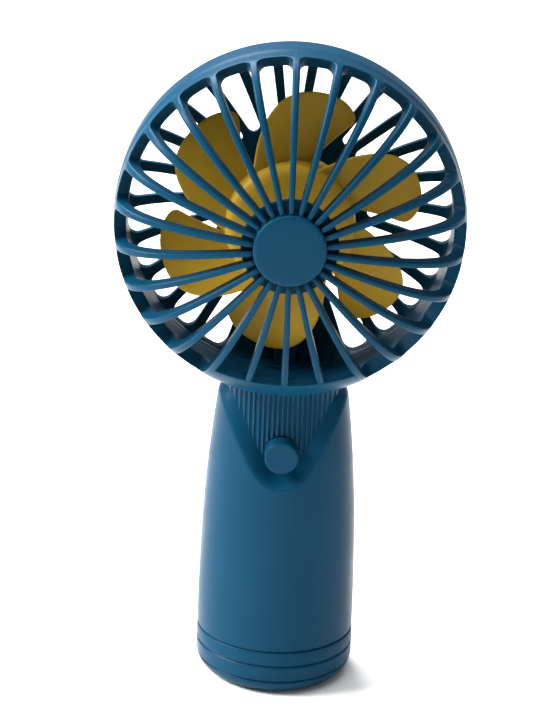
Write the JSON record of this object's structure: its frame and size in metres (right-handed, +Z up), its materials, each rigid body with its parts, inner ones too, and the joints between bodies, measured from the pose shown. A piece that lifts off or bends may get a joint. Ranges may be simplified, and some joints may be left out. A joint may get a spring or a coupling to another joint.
{
  "type": "handheld electric fan",
  "caption": "Handheld electric fan with a round ribbed cage, a yellow impeller and an oval battery handle with a push button.",
  "frame": {"origin": "centre of the flat base of the handle, on the surface that the fan stands on", "axes": "+Z up along the handle to the head, front of the fan towards -Y, +X to the right seen from the front"},
  "size_m": [0.105, 0.057, 0.202],
  "materials": {
    "shell": "satin moulded teal-blue plastic with a very fine grain",
    "blade": "satin moulded mustard-yellow plastic",
    "steel": "plated steel",
    "cell": null,
    "lamination": "stacked sheet steel",
    "copper": "enamelled copper",
    "bronze": "oiled sintered bronze",
    "nickel": "nickel plate",
    "ferrite": "dull ferrite",
    "black_plastic": "moulded black",
    "board": "green solder mask",
    "ceramic_parts": "small chip parts",
    "ivory": "ivory nylon",
    "wrap": "shrink wrap",
    "insulator": "pressed paper",
    "clear": "clear plastic",
    "lead_red": "soft wire insulation",
    "lead_black": "soft wire insulation"
  },
  "bodies": {
    "frame": {"front_grille": "shell", "rear_housing": "shell", "neck_core": "shell", "handle_sleeve": "shell", "base_cap": "shell", "motor_can": "steel", "motor_end_cap": "black_plastic", "motor_front_bush": "bronze", "motor_rear_bush": "bronze", "motor_magnets": "ferrite", "motor_brushes": "copper", "motor_terminals": "nickel", "motor_retainer": "steel", "motor_retainer_screws": "steel", "switch_body": "nickel", "main_board": "board", "board_screws": "steel", "driver_chip": "black_plastic", "board_components": "ceramic_parts", "lead_socket": "ivory", "battery_cell": "cell", "battery_wrap": "wrap", "battery_insulator": "insulator", "battery_contact_top": "nickel", "battery_contact_bottom": "nickel", "battery_cradle": "black_plastic", "charge_board": "board", "charge_board_screws": "steel", "charge_chip": "black_plastic", "charge_inductor": "ferrite", "usb_shell": "steel", "usb_tongue": "black_plastic", "charge_led": "clear", "light_pipe": "clear", "motor_lead_red": "lead_red", "motor_lead_black": "lead_black", "battery_lead_red": "lead_red", "battery_lead_black": "lead_black", "charge_lead_red": "lead_red", "charge_lead_black": "lead_black", "neck_screws": "steel", "base_cap_screws": "steel"},
    "rotor": {"impeller": "blade", "motor_shaft": "steel", "rotor_core": "lamination", "rotor_windings": "copper", "commutator": "copper", "thrust_washer": "steel"},
    "button": {"button_cap": "shell", "switch_plunger": "black_plastic"}
  },
  "joints": [
    {"name": "fan_spin", "type": "hinge", "parent": "frame", "child": "rotor", "pos_m": [0, 0, 0.1495], "axis": [0, 1, 0], "continuous": true},
    {"name": "button_press", "type": "slide", "parent": "frame", "child": "button", "axis": [0, 1, 0], "range_m": [0, 0.001], "stiffness_N_per_m": 400, "springref_m": -0.002}
  ]
}
